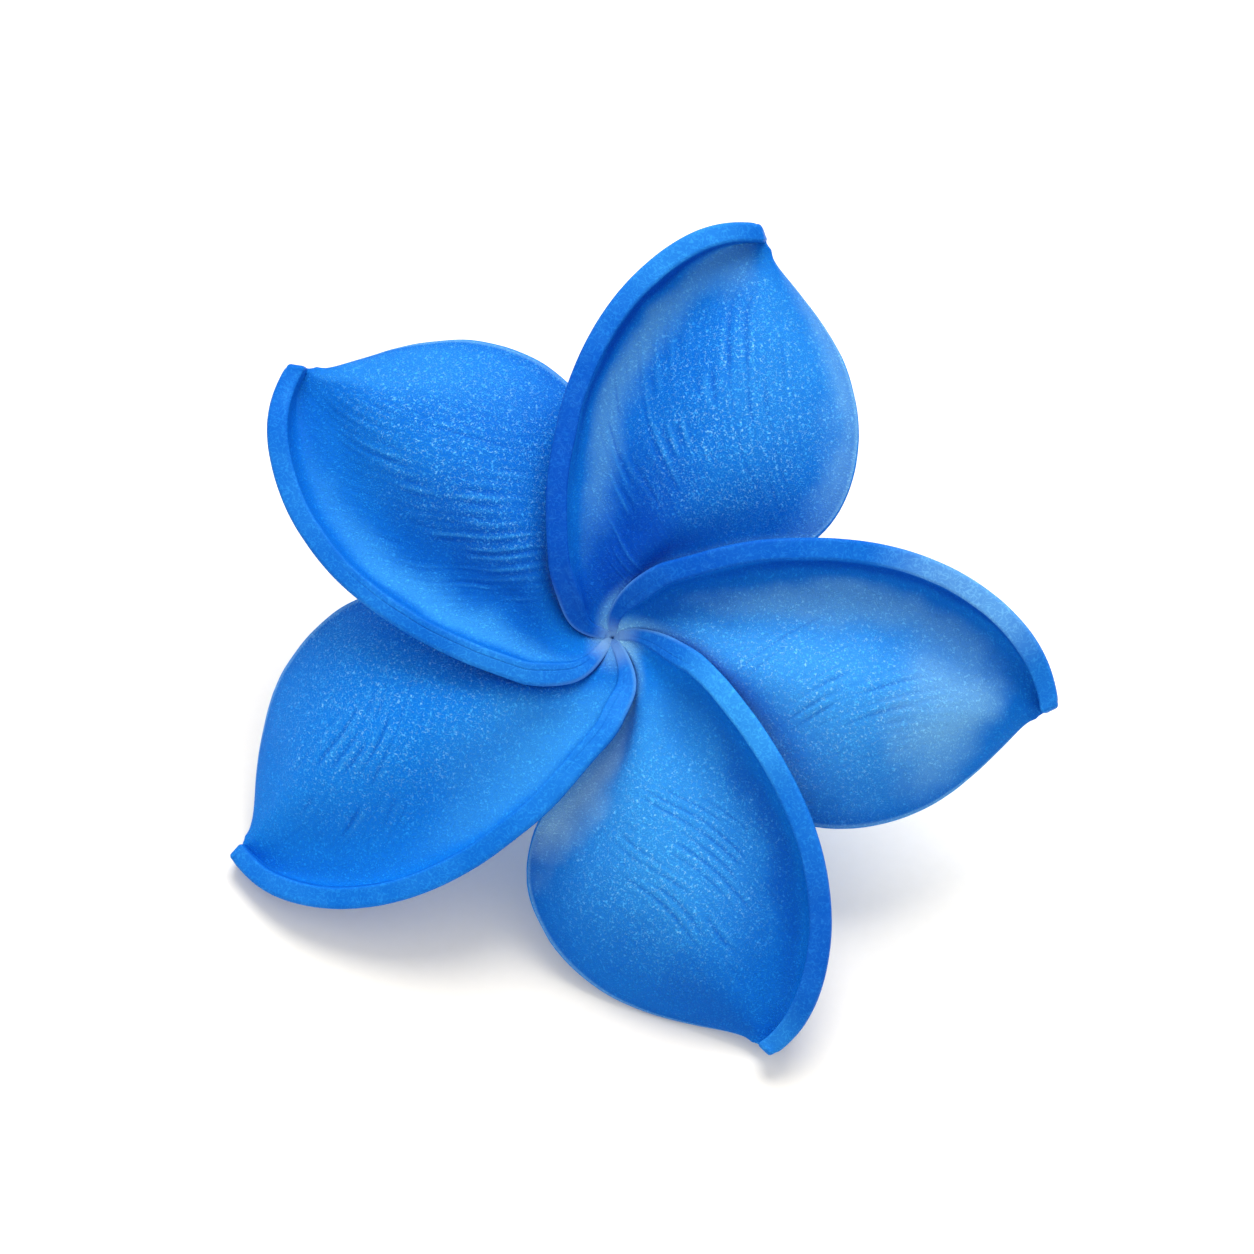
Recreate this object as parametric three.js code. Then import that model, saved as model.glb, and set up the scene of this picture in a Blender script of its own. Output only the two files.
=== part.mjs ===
// Frangipani flower: five overlapping petals in a pinwheel, their tube, the calyx and a cut stalk.
// Millimetres. The flower is made round its own axis (+Z, petals up), then laid down as it rests:
// on the tips of its two lowest petals and on the cut end of the stalk.
import * as THREE from 'three';

// Petal outlines in the petal's own plan: u runs from the flower's middle to the tip, v towards the
// rolled rim. Both lines start at the middle and end at the tip.
const RIM_LINE = [
  [0.1, 0.9], [-0.5, 2.5], [0.0, 5.0], [2.2, 7.3], [6.0, 9.2], [10.6, 10.7], [16.0, 11.9],
  [22.0, 12.6], [28.0, 12.2], [34.0, 10.3], [38.7, 7.2], [41.5, 3.7], [42.8, 0.2],
];
const FREE_LINE = [
  [0.72, 0.55], [2.2, 1.0], [4.8, 0.6], [6.9, -1.5], [8.7, -4.8], [10.7, -9.2], [13.9, -13.4],
  [19.0, -15.9], [25.5, -15.5], [31.5, -12.8], [36.2, -8.4], [39.6, -3.7], [41.3, -1.1],
];
// size of the petal that the two outlines draw
const PLAN_LENGTH = 43.0;
const PLAN_RIM_WIDTH = 12.4;
const PLAN_FREE_WIDTH = 16.0;

// The cross-section of a petal: free edge turned down, low crown, valley, then the rim standing up.
const RIM_HEIGHT = 4.8;
const CROWN_HEIGHT = 2.65;
const FREE_DROP = 2.3;
const EDGE_ROLL = 1.0;
const VALLEY_FROM_RIM = 7.6;
const DROP_ZONE = 6.0;
// the same two widths on a narrow section near the root, as shares of its width
const VALLEY_SHARE = 0.38;
const DROP_SHARE = 0.30;
const CROWN_START_SHARE = 0.40;

// Where along a petal its features grow in or fade out: 0 is the root and 1 the tip.
const RIM_GROWS = [0, 0.42];
const RIM_LOWERS = [0.82, 1];
const CROWN_GROWS = [0.20, 0.60];
const CROWN_FADES = [0.62, 0.90];
const DROP_GROWS = [-0.02, 0.12];
const DROP_FADES = [0.80, 1];
const EDGE_COMES_CLEAR = [0.45, 0.62];
const ROLL_FADES = [0.75, 0.95];
// what is left of the rim's height at the root and at the tip, and of the drop at the tip
const RIM_AT_ROOT = 0.08;
const RIM_AT_TIP = 0.60;
const DROP_AT_TIP = 0.25;

// Sheet thickness at the rim, in the middle and at the free edge.
const RIM_THICK = 2.1;
const MID_THICK = 1.2;
const FREE_THICK = 0.8;
// the sheet is thinner at the root; its rim thins a little again at the tip
const RIM_THICKENS = [0.02, 0.28];
const RIM_THICK_AT_ROOT = 0.30;
const RIM_THINS = [0.85, 1];
const RIM_THICK_AT_TIP = 0.85;
const SHEET_THICKENS = [0, 0.36];
const SHEET_THICK_AT_ROOT = 0.5;
// across a petal, 0 at the free edge and 1 at the rim
const FROM_FREE_EDGE = [0, 0.3];
const TOWARDS_RIM = [0.58, 0.92];

// All petals sink into the throat at the middle and bend down a little towards their tips.
const THROAT_DEPTH = 3.0;
const THROAT_REACH = 3.2;
const BEND_FROM = 16.0;
const BEND = 0.0045;
const DROOP_FROM = 10.0;
const DROOP_REACH = 33.0;

// Distances from the middle within which the petals pass from one shared form to their own.
const OWN_SIZE = [4, 16];
const OWN_AZIMUTH = [3, 12];
const BULGE_GROWS = [3, 8];
const BULGE_FADES = [9, 18];

// The five petals anticlockwise. Azimuth is the direction of the tip, sideways widths are measured
// from the petal's midline, droop is how far the tip hangs, bulge moves the rim near the middle.
const PETALS = [
  { azimuth: 68.8, length: 43.0, rimWidth: 11.9, freeWidth: 16.9, bulge: -0.6 },
  { azimuth: 137.4, length: 42.2, rimWidth: 12.6, freeWidth: 16.8, bulge: 0.0 },
  { azimuth: 206.5, length: 43.7, rimWidth: 12.7, freeWidth: 17.1, bulge: -0.5, droop: 5.5 },
  { azimuth: 289.7, length: 42.3, rimWidth: 11.9, freeWidth: 17.8, bulge: -0.2 },
  { azimuth: 350.8, length: 43.0, rimWidth: 12.6, freeWidth: 15.6, bulge: -0.4, freeDrop: 2.9 },
];
// the petals leave the throat evenly spaced, whatever direction their tips take
const FIRST_ROOT_AZIMUTH = 69.0;

// Grid of one petal: steps from root to tip and from free edge to rim.
const ALONG = 26;
const ACROSS = 15;
const ROUND_STEPS = 40;

// Tube, calyx and stalk under the petals.
const BORE_RADIUS = 0.45;
const TUBE_PROFILE = [
  [BORE_RADIUS, -9.0], [BORE_RADIUS, -3.4], [1.15, -3.45], [1.7, -4.25], [2.3, -4.55], [3.3, -4.55],
  [4.2, -4.3], [5.2, -4.1], [5.5, -4.35], [5.1, -4.9], [4.1, -5.7], [3.2, -6.8], [2.55, -8.4],
  [2.25, -10.5], [2.15, -13.0], [2.3, -15.5], [2.35, -17.6], [1.9, -18.3], [1.0, -18.5],
];
const SEAT_GAP = 0.3;
const CALYX_OUTER = [[1.7, -20.2], [2.9, -19.3], [3.5, -18.0], [3.6, -16.9], [3.5, -16.0]];
const CALYX_INNER = [[2.85, -16.0], [2.7, -16.9], [2.68, -17.7], [2.2, -18.55], [1.0, -18.8]];
const LOBE_COUNT = 5;
const LOBE_RISE = 1.3;
const LOBE_FLARE = 0.25;
// rings of the cup's wall, counted from its edge, over which a lobe fades; its bluntness
const LOBE_FADE = 2.5;
const LOBE_BLUNTNESS = 0.7;
const STALK_RADIUS = 1.45;
const STALK_END_RADIUS = 1.6;
const STALK_TOP = -20.2 - SEAT_GAP;
const STALK_LENGTH = 6.0;
// how far the stalk's cut end stands off the flower's axis
const STALK_END = [1.6, 0.6];
const STALK_RINGS = 8;

// The flower leans this way when it is laid down: a first guess that settles onto its three feet.
const LEANS_TOWARDS = [-0.09, -0.52, -0.85];
const SETTLING_STEPS = 20;

const RAD = Math.PI / 180;

const MATERIALS = {
  petal: new THREE.MeshStandardMaterial({ name: 'petal', color: 0x1474e2, roughness: 0.5, metalness: 0 }),
  tube: new THREE.MeshStandardMaterial({ name: 'tube', color: 0x7fb2ea, roughness: 0.55, metalness: 0 }),
  calyx: new THREE.MeshStandardMaterial({ name: 'calyx', color: 0x6f8f4a, roughness: 0.6, metalness: 0 }),
  stalk: new THREE.MeshStandardMaterial({ name: 'stalk', color: 0x7d9a55, roughness: 0.65, metalness: 0 }),
};

// Smooth step from 0 to 1 over a range.
function rise([from, to], x) {
  const t = Math.min(1, Math.max(0, (x - from) / (to - from)));
  return t * t * (3 - 2 * t);
}

// Smooth step over a range between two given values.
function blend(range, x, before, after) {
  return before + (after - before) * rise(range, x);
}

// Uniform cubic B-spline that starts and ends on its end points.
function spline(points, s) {
  const n = points.length - 1;
  const x = Math.min(1, Math.max(0, s)) * n;
  const i = Math.min(Math.floor(x), n - 1);
  const t = x - i;
  const before = i === 0 ? points[0].map((p, k) => 2 * p - points[1][k]) : points[i - 1];
  const after = i === n - 1 ? points[n].map((p, k) => 2 * p - points[n - 1][k]) : points[i + 2];
  const weights = [(1 - t) ** 3, 3 * t ** 3 - 6 * t ** 2 + 4, -3 * t ** 3 + 3 * t ** 2 + 3 * t + 1, t ** 3];
  const around = [before, points[i], points[i + 1], after];
  return points[0].map((_, k) => around.reduce((sum, p, j) => sum + weights[j] * p[k], 0) / 6);
}

// An outline scaled to one petal's length and width, outside the middle where all five are alike.
function grownLine(line, lengthScale, widthScale) {
  return line.map(([u, v]) => {
    const k = rise(OWN_SIZE, Math.hypot(u, v));
    return [u * (1 + (lengthScale - 1) * k), v * (1 + (widthScale - 1) * k)];
  });
}

function rimThickness(s) {
  return RIM_THICK * blend(RIM_THICKENS, s, RIM_THICK_AT_ROOT, 1) * blend(RIM_THINS, s, 1, RIM_THICK_AT_TIP);
}

function sheetThickness(s, t) {
  const middle = MID_THICK * blend(SHEET_THICKENS, s, SHEET_THICK_AT_ROOT, 1);
  const blade = blend(FROM_FREE_EDGE, t, Math.min(FREE_THICK, middle), middle);
  return blend(TOWARDS_RIM, t, blade, Math.max(rimThickness(s), middle));
}

// Cross-section at s: points (distance from the free edge, height), from the free edge to the rim.
function crossSection(s, width, freeDrop) {
  const rim = RIM_HEIGHT * blend(RIM_GROWS, s, RIM_AT_ROOT, 1) * blend(RIM_LOWERS, s, 1, RIM_AT_TIP);
  const crown = CROWN_HEIGHT * rise(CROWN_GROWS, s) * blend(CROWN_FADES, s, 1, 0);
  const clear = rise(EDGE_COMES_CLEAR, s);
  const drop = freeDrop * rise(DROP_GROWS, s) * blend(DROP_FADES, s, 1, DROP_AT_TIP)
    + EDGE_ROLL * clear * blend(ROLL_FADES, s, 1, 0);
  const valley = Math.min(VALLEY_FROM_RIM, VALLEY_SHARE * width);
  const zone = Math.min(DROP_ZONE, DROP_SHARE * width);
  const wall = Math.min(0.5 * rimThickness(s), DROP_SHARE * width);
  const crownStart = CROWN_START_SHARE * width;
  const crownStep = (width - valley - crownStart) / 3;
  const fromWall = (share) => width - wall - (valley - wall) * share;
  return [
    [Math.min(0.2, width / 30), -drop],
    [0.50 * zone, (-0.85 + 0.4 * clear) * drop],
    [1.2 * zone, (0.05 + 0.25 * clear) * crown - 0.30 * drop * (1 - clear)],
    [crownStart, 0.85 * crown],
    [crownStart + crownStep, crown],
    [crownStart + 2 * crownStep, 0.6 * crown],
    [fromWall(1), 0],
    [fromWall(0.52), 0.03 * rim],
    [fromWall(0.20), 0.17 * rim],
    [fromWall(0), 0.52 * rim],
    [fromWall(0), rim],
  ];
}

// Middle surface of a petal as rows of points, root to tip; a row runs from free edge to rim.
function middleSurface(petal, rootAzimuth) {
  const { azimuth, length, rimWidth, freeWidth, droop = 0, bulge = 0, freeDrop = FREE_DROP } = petal;
  const rimLine = grownLine(RIM_LINE, length / PLAN_LENGTH, rimWidth / PLAN_RIM_WIDTH);
  const freeLine = grownLine(FREE_LINE, length / PLAN_LENGTH, freeWidth / PLAN_FREE_WIDTH);
  const rows = [];
  for (let i = 0; i <= ALONG; i += 1) {
    const s = i / ALONG;
    const rim = spline(rimLine, s);
    const rimReach = Math.hypot(rim[0], rim[1]);
    rim[1] += bulge * rise(BULGE_GROWS, rimReach) * blend(BULGE_FADES, rimReach, 1, 0);
    const free = spline(freeLine, s);
    const width = Math.hypot(rim[0] - free[0], rim[1] - free[1]);
    const section = crossSection(s, width, freeDrop);
    const row = [];
    for (let j = 0; j <= ACROSS; j += 1) {
      const [distance, height] = spline(section, j / ACROSS);
      const u = free[0] + ((rim[0] - free[0]) * distance) / width;
      const v = free[1] + ((rim[1] - free[1]) * distance) / width;
      const r = Math.hypot(u, v);
      const sink = THROAT_DEPTH * Math.exp(-r / THROAT_REACH) + BEND * Math.max(r - BEND_FROM, 0) ** 2;
      const hang = droop * Math.max((r - DROOP_FROM) / DROOP_REACH, 0) ** 2;
      const turn = blend(OWN_AZIMUTH, r, rootAzimuth, azimuth) * RAD;
      row.push(new THREE.Vector3(
        u * Math.cos(turn) - v * Math.sin(turn),
        u * Math.sin(turn) + v * Math.cos(turn),
        height - sink - hang,
      ));
    }
    rows.push(row);
  }
  return rows;
}

function surfaceNormal(rows, i, j) {
  const along = rows[Math.min(i + 1, ALONG)][j].clone().sub(rows[Math.max(i - 1, 0)][j]);
  const across = rows[i][Math.min(j + 1, ACROSS)].clone().sub(rows[i][Math.max(j - 1, 0)]);
  return along.cross(across).normalize();
}

// A petal: its middle surface thickened both ways. Both faces are split into the same triangles.
function petalGeometry(petal, rootAzimuth) {
  const rows = middleSurface(petal, rootAzimuth);
  const upper = [];
  const lower = [];
  rows.forEach((row, i) => row.forEach((point, j) => {
    const half = surfaceNormal(rows, i, j).multiplyScalar(sheetThickness(i / ALONG, j / ACROSS) / 2);
    upper.push(point.clone().add(half));
    lower.push(point.clone().sub(half));
  }));
  const under = upper.length;
  const at = (i, j) => i * (ACROSS + 1) + j;
  const faces = [];
  for (let i = 0; i < ALONG; i += 1) {
    for (let j = 0; j < ACROSS; j += 1) {
      const [a, b, c, d] = [at(i, j), at(i + 1, j), at(i + 1, j + 1), at(i, j + 1)];
      faces.push([a, b, c], [a, c, d]);
      faces.push([a + under, c + under, b + under], [a + under, d + under, c + under]);
    }
  }
  const border = [];
  for (let i = 0; i < ALONG; i += 1) border.push(at(i, 0));
  for (let j = 0; j < ACROSS; j += 1) border.push(at(ALONG, j));
  for (let i = ALONG; i > 0; i -= 1) border.push(at(i, ACROSS));
  for (let j = ACROSS; j > 0; j -= 1) border.push(at(0, j));
  border.forEach((a, k) => {
    const b = border[(k + 1) % border.length];
    faces.push([a, a + under, b + under], [a, b + under, b]);
  });
  return meshGeometry([...upper, ...lower], faces);
}

function meshGeometry(points, faces) {
  const geometry = new THREE.BufferGeometry();
  geometry.setAttribute('position', new THREE.Float32BufferAttribute(points.flatMap((p) => p.toArray()), 3));
  geometry.setIndex(faces.flat());
  geometry.computeVertexNormals();
  return geometry;
}

// A solid of rings round an axis: rings of equal length, closed over with a fan at both ends.
function ringsGeometry(rings) {
  const count = rings[0].length;
  const points = rings.flat();
  const faces = [];
  for (let i = 0; i < rings.length - 1; i += 1) {
    for (let j = 0; j < count; j += 1) {
      const k = (j + 1) % count;
      const [a, b, c, d] = [i * count + j, i * count + k, (i + 1) * count + k, (i + 1) * count + j];
      faces.push([a, b, c], [a, c, d]);
    }
  }
  const middleOf = (ring) => ring.reduce((sum, p) => sum.add(p), new THREE.Vector3()).divideScalar(count);
  const first = points.push(middleOf(rings[0])) - 1;
  const last = points.push(middleOf(rings[rings.length - 1])) - 1;
  const lastRing = (rings.length - 1) * count;
  for (let j = 0; j < count; j += 1) {
    const k = (j + 1) % count;
    faces.push([first, k, j], [last, lastRing + j, lastRing + k]);
  }
  return meshGeometry(points, faces);
}

function ring(radius, z) {
  const points = [];
  for (let j = 0; j < ROUND_STEPS; j += 1) {
    const angle = (2 * Math.PI * j) / ROUND_STEPS;
    points.push(new THREE.Vector3(radius * Math.cos(angle), radius * Math.sin(angle), z));
  }
  return points;
}

// The corolla tube: a blind bore in the middle, a shallow cup under the petals, then the slender tube.
function tubeGeometry() {
  const outsideUp = [...TUBE_PROFILE].reverse();
  return ringsGeometry(outsideUp.map(([radius, z]) => ring(radius, z)));
}

// How far a calyx lobe has grown in one direction: 1 on a lobe's middle, 0 between two lobes.
function lobe(angle) {
  return Math.abs(Math.cos((LOBE_COUNT / 2) * angle)) ** LOBE_BLUNTNESS;
}

// The calyx: a small cup with five blunt lobes that clasp the foot of the tube.
function calyxGeometry() {
  const profile = [...CALYX_OUTER, ...CALYX_INNER];
  const edge = CALYX_OUTER.length - 1;
  const rings = profile.map(([radius, z], i) => {
    const nearEdge = 1 - Math.min(1, Math.abs(i - edge - 0.5) / LOBE_FADE);
    return ring(radius, z).map((p) => {
      const grown = lobe(Math.atan2(p.y, p.x)) * nearEdge;
      const spread = 1 + (LOBE_FLARE * grown) / radius;
      return new THREE.Vector3(p.x * spread, p.y * spread, p.z + LOBE_RISE * grown);
    });
  });
  return ringsGeometry(rings);
}

// The stalk: a short, slightly bent rod with a straight cut across its end.
function stalkGeometry() {
  const rings = [];
  for (let i = 0; i <= STALK_RINGS; i += 1) {
    const t = i / STALK_RINGS;
    const radius = STALK_RADIUS + (STALK_END_RADIUS - STALK_RADIUS) * t;
    const z = STALK_TOP - STALK_LENGTH * t;
    const off = new THREE.Vector3(STALK_END[0] * t * t, STALK_END[1] * t * t, 0);
    rings.unshift(ring(radius, z).map((p) => p.add(off)));
  }
  return ringsGeometry(rings);
}

function namedMesh(name, geometry, material) {
  const mesh = new THREE.Mesh(geometry, material);
  mesh.name = name;
  return mesh;
}

// The direction that is down when the flower lies on the lowest points of three of its pieces.
function restingDown(meshes, firstGuess) {
  const down = firstGuess.clone();
  const point = new THREE.Vector3();
  for (let step = 0; step < SETTLING_STEPS; step += 1) {
    const [a, b, c] = meshes.map((mesh) => {
      const position = mesh.geometry.attributes.position;
      const lowest = new THREE.Vector3().fromBufferAttribute(position, 0);
      for (let i = 1; i < position.count; i += 1) {
        point.fromBufferAttribute(position, i);
        if (point.dot(down) > lowest.dot(down)) lowest.copy(point);
      }
      return lowest;
    });
    const normal = b.clone().sub(a).cross(c.clone().sub(a)).normalize();
    down.copy(normal.dot(down) < 0 ? normal.negate() : normal);
  }
  return down;
}

// Lays the flower down and puts the middle of its footprint's box on the origin, base on z = 0.
function layDown(meshes, restingOn) {
  const down = restingDown(restingOn, new THREE.Vector3(...LEANS_TOWARDS));
  const turn = new THREE.Quaternion().setFromUnitVectors(down, new THREE.Vector3(0, 0, -1));
  const box = new THREE.Box3();
  for (const mesh of meshes) {
    mesh.geometry.applyQuaternion(turn);
    mesh.geometry.computeBoundingBox();
    box.union(mesh.geometry.boundingBox);
  }
  const centre = box.getCenter(new THREE.Vector3());
  for (const mesh of meshes) mesh.geometry.translate(-centre.x, -centre.y, -box.min.z);
}

function frangipani() {
  const petals = PETALS.map((petal, k) => namedMesh(
    `petal_${k + 1}`,
    petalGeometry(petal, FIRST_ROOT_AZIMUTH + (360 / PETALS.length) * k),
    MATERIALS.petal,
  ));
  const tube = namedMesh('corolla_tube', tubeGeometry(), MATERIALS.tube);
  const calyx = namedMesh('calyx', calyxGeometry(), MATERIALS.calyx);
  const stalk = namedMesh('pedicel', stalkGeometry(), MATERIALS.stalk);
  const meshes = [...petals, tube, calyx, stalk];
  layDown(meshes, [petals[2], petals[3], stalk]);
  const flower = new THREE.Group();
  flower.name = 'frangipani_flower';
  flower.add(...meshes);
  return flower;
}

export default frangipani();
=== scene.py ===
import math

import bpy
import numpy as np
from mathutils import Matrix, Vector


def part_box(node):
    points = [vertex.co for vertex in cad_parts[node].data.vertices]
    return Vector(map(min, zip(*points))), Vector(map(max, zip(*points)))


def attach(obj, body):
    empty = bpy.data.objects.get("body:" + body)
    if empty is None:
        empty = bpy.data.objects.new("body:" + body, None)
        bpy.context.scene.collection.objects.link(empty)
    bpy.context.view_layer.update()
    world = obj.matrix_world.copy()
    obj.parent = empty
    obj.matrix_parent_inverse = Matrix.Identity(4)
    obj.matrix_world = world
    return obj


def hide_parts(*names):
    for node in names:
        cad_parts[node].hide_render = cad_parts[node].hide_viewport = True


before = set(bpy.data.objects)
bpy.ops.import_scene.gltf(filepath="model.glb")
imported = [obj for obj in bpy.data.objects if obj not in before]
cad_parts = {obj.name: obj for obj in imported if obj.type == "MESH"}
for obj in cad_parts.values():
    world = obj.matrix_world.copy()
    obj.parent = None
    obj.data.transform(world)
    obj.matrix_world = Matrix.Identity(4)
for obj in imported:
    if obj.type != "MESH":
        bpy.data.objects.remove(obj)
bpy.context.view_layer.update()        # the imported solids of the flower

MM = 0.001

# Petal outlines in the petal's own plan, mm: u from the flower's middle to the tip, v to the rim.
RIM_LINE = [
    (0.1, 0.9), (-0.5, 2.5), (0.0, 5.0), (2.2, 7.3), (6.0, 9.2), (10.6, 10.7), (16.0, 11.9),
    (22.0, 12.6), (28.0, 12.2), (34.0, 10.3), (38.7, 7.2), (41.5, 3.7), (42.8, 0.2),
]
FREE_LINE = [
    (0.72, 0.55), (2.2, 1.0), (4.8, 0.6), (6.9, -1.5), (8.7, -4.8), (10.7, -9.2), (13.9, -13.4),
    (19.0, -15.9), (25.5, -15.5), (31.5, -12.8), (36.2, -8.4), (39.6, -3.7), (41.3, -1.1),
]
PLAN_LENGTH, PLAN_RIM_WIDTH, PLAN_FREE_WIDTH = 43.0, 12.4, 16.0
# The finished petal's outlines have these points, by number, in place of the solid's: its root
# reaches further in, and its tip is a squared lip beside a notch.
FINE_RIM_POINTS = {0: (0.05, 0.45), 11: (41.7, 3.7)}
FINE_FREE_POINTS = {0: (0.36, 0.28), 10: (36.0, -8.2)}
LIP_START, LIP_HEADING, LIP_WIDTH = (43.1, 0.0), (0.35, -0.94), 2.8
NOTCH_BACK = (1.4, 1.45)
# The finished roots are turned, degrees, and shifted, mm, beside the solids' place, within these
# distances from the middle.
ROOT_TWIST, TWIST_FADES = -12.0, (2.5, 9)
ROOT_SHIFT, SHIFT_FADES = (-0.45, 0.75), (0.5, 5)

# Cross-section of a petal, mm, from here down to the stalk the same values as the solids have: a
# free edge turned down, a low crown, a valley and a rim that stands up.
RIM_HEIGHT, CROWN_HEIGHT, FREE_DROP, EDGE_ROLL = 4.8, 2.65, 2.3, 1.0
VALLEY_FROM_RIM, DROP_ZONE = 7.6, 6.0
# the same widths on a narrow section near the root, and where its crown starts, as shares of its width
VALLEY_SHARE, DROP_SHARE, WALL_SHARE, CROWN_START_SHARE = 0.38, 0.30, 0.30, 0.40
# where along a petal, from root 0 to tip 1, its features grow in or fade out, and what is left then
RIM_GROWS, RIM_AT_ROOT = (0, 0.42), 0.08
RIM_LOWERS, RIM_AT_TIP = (0.82, 1), 0.60
CROWN_GROWS, CROWN_FADES = (0.20, 0.60), (0.62, 0.90)
DROP_GROWS = (-0.02, 0.12)
DROP_FADES, DROP_AT_TIP = (0.8, 1), 0.25
EDGE_COMES_CLEAR, ROLL_FADES = (0.45, 0.62), (0.75, 0.95)

# Sheet thickness, mm, and where along and across a petal it changes.
RIM_THICK, MID_THICK, FREE_THICK = 2.1, 1.2, 0.8
RIM_THICKENS, RIM_THICK_AT_ROOT = (0.02, 0.28), 0.30
RIM_THINS, RIM_THICK_AT_TIP = (0.85, 1.0), 0.85
SHEET_THICKENS, SHEET_THICK_AT_ROOT = (0, 0.36), 0.5
FROM_FREE_EDGE, TOWARDS_RIM = (0, 0.3), (0.58, 0.92)

# Throat, bend and droop, by distance from the middle, mm.
THROAT_DEPTH, THROAT_REACH = 3.0, 3.2
BEND_FROM, BEND = 16.0, 0.0045
DROOP_FROM, DROOP_REACH = 10, 33
# distances from the middle within which the petals pass from one shared form to their own
OWN_SIZE, OWN_AZIMUTH = (4, 16), (3, 12)
BULGE_GROWS, BULGE_FADES = (3, 8), (9, 18)

PETALS = [
    dict(azimuth=68.8, length=43.0, rim_width=11.9, free_width=16.9, bulge=-0.6),
    dict(azimuth=137.4, length=42.2, rim_width=12.6, free_width=16.8, bulge=0.0),
    dict(azimuth=206.5, length=43.7, rim_width=12.7, free_width=17.1, bulge=-0.5, droop=5.5),
    dict(azimuth=289.7, length=42.3, rim_width=11.9, free_width=17.8, bulge=-0.2),
    dict(azimuth=350.8, length=43.0, rim_width=12.6, free_width=15.6, bulge=-0.4, free_drop=2.9),
]
FIRST_ROOT_AZIMUTH = 69.0

# Stalk's cut end in the flower's frame, mm, and the flower's lean before it settles on its feet.
STALK_END, STALK_END_RADIUS, STALK_END_Z = (1.6, 0.6), 1.6, -26.5
ROUND_STEPS = 40
LEANS_TOWARDS = (-0.09, -0.52, -0.85)
SETTLING_STEPS = 20

# Steps along and across a petal: of the solid, which the pose is worked out from, of the finished
# petal, and of the surface whose rim the next petal's pale seam follows.
SOLID_STEPS = (26, 15)
FINE_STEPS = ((260, 160))
SEAM_STEPS = (115, 3)

# Finished petal's relief, mm: shallow lumps, and creases with fainter hairlines between them. The
# creases run in arcs that leave the free side and turn towards the tip.
LUMP_HEIGHT, LUMP_SIZE, LUMPS_GROW = 0.05, 3.5, (0, 0.2)
CREASE_ARC_START, CREASE_ARC_SLOPE, CREASE_ARC_BEND = 14, 1.12, 0.0235
CREASE_SWAY, CREASE_SWAY_LENGTH = 0.5, 5
CREASE_LENGTH, HAIRLINE_LENGTH = 4.2, 5
HAIRLINE_SPACING, HAIRLINE_SHARE = 0.85, 0.35
# share of the relief that shows on the underside too
RELIEF_BELOW = 0.5
# Near its root the rim's underside is fuller, so that it rests on the next petal.
FULLER_BY, FULLER_ALONG, FULLER_ACROSS = 0.5, (0.14, 0.36), (0.7, 0.95)

# Rounding of the border's inner and outer corner, and its hand-cut unevenness, mm.
INNER_ROUND, OUTER_ROUND, ROUND_REACH, ROUND_SHARE = 0.28, 0.42, 1.2, 0.45
INNER_CORNER, OUTER_CORNER = (25, 50, 75, 90), (90, 75, 60, 45, 30, 15)
BORDER_WOBBLE, BORDER_WAVE = 0.05, 2.4
# rings on the flat between the corners, as shares of the way across it; a cut line sinks the one with a 1
FLAT_RINGS = ((0.21, 0), (0.27, 0), (0.31, 1), (0.35, 0), (0.41, 0))
# how far before and after its two ends, as steps of s, a cut line fades
CUT_STARTS, CUT_ENDS = (-0.04, 0.04), (-0.1, 0.05)

# Length that one unit of the seam map stands for, mm.
MAP_SPAN = 50.0

# Petals' finish: how fine the grain and the painted sparks of highlight on it are, in noise cells
# per metre, and how strongly the skin mirrors light.
FACE_GRAIN, BORDER_GRAIN, FINE_GRAIN, SPARK_GRAIN = 4200.0, 2500.0, 3600.0, 3000.0
PETAL_SHINE = 0.05

# Camera: the photograph's, in line with the bloom's lean; degrees, m, and mm for the sensor.
CAMERA_ELEVATION, CAMERA_DISTANCE = 56.0, 0.7
CAMERA_CLIP = (0.01, 20.0)
PIXELS_PER_MM, IMAGE_SIZE, SENSOR = 10.33, 1254, 36.0
# the photograph's pixel that shows the point at this height, mm, on the flower's axis
FLOWER_MIDDLE_PIXEL, FLOWER_MIDDLE_Z = (615.2, 644.4), -1.0

# Light, m and W: one soft lamp above and behind the bloom, and an even white sky.
KEY_PLACE, KEY_SIZE, KEY_POWER = (0.06, 0.27, 0.55), 0.48, 3.5
KEY_AIM = (0, 0, 0.02)
SKY_STRENGTH = 0.85
# half the floor's side, m
FLOOR_HALF = 3.0


def rise(a, b, x):
    """Smooth step from 0 to 1 between a and b."""
    t = np.clip((x - a) / (b - a), 0, 1)
    return t * t * (3 - 2 * t)


def blend(span, x, before, after):
    """Smooth step over a span between two given values."""
    return before + (after - before) * rise(*span, x)


def unit(vectors):
    return vectors / np.linalg.norm(vectors, axis=-1, keepdims=True)


def spline(points, s):
    """Uniform cubic B-spline that starts and ends on its end points; s is an array from 0 to 1."""
    p = np.asarray(points, float)
    n = len(p) - 1
    x = np.clip(np.asarray(s, float), 0, 1) * n
    i = np.minimum(x.astype(int), n - 1)
    t = (x - i)[..., None]
    q = np.concatenate([2 * p[:1] - p[1:2], p, 2 * p[-1:] - p[-2:-1]])
    a, b, c, d = q[i], q[i + 1], q[i + 2], q[i + 3]
    return ((1 - t)**3 * a + (3*t**3 - 6*t**2 + 4) * b + (-3*t**3 + 3*t**2 + 3*t + 1) * c + t**3 * d) / 6


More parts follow.
